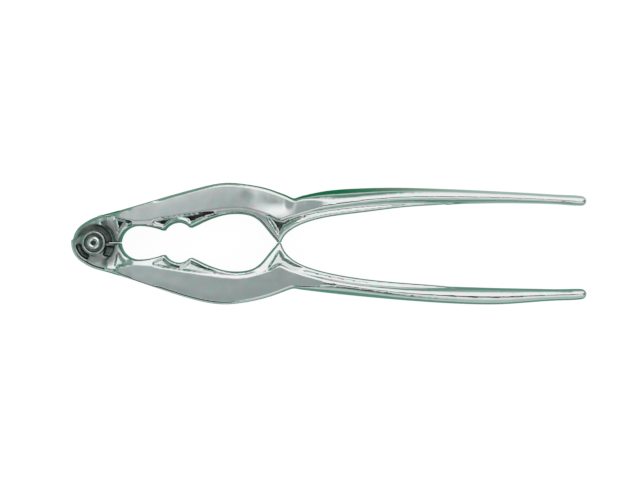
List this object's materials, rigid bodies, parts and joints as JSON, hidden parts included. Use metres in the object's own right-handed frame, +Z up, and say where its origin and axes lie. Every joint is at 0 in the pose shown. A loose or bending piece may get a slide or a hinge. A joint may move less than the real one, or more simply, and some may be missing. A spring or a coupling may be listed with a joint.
{
  "type": "nutcracker",
  "caption": "Plated cast lever nutcracker: arms riveted together at one end, a small and a large toothed opening between them, a stop nose, then long tapering handles.",
  "frame": {"origin": "middle of the bounding box's underside, under the closed tool lying flat", "axes": "+X along the tool from the rivet end to the handle tips, +Y from the lower arm to the upper arm, +Z up along the rivet, towards its rolled end"},
  "size_m": [0.17, 0.0403, 0.014],
  "materials": {
    "lower_arm_plating": "bright plating over a polished die casting",
    "upper_arm_plating": "bright plating over a polished die casting",
    "rivet_steel": "plated steel, rolled over at the front"
  },
  "bodies": {
    "lower_arm": {"lower_arm": "lower_arm_plating", "rivet": "rivet_steel"},
    "upper_arm": {"upper_arm": "upper_arm_plating"}
  },
  "joints": [
    {"name": "pivot", "type": "hinge", "parent": "lower_arm", "child": "upper_arm", "pos_m": [-0.07755, 0, 0.007], "axis": [0, 0, 1], "range_deg": [0, 60]}
  ]
}
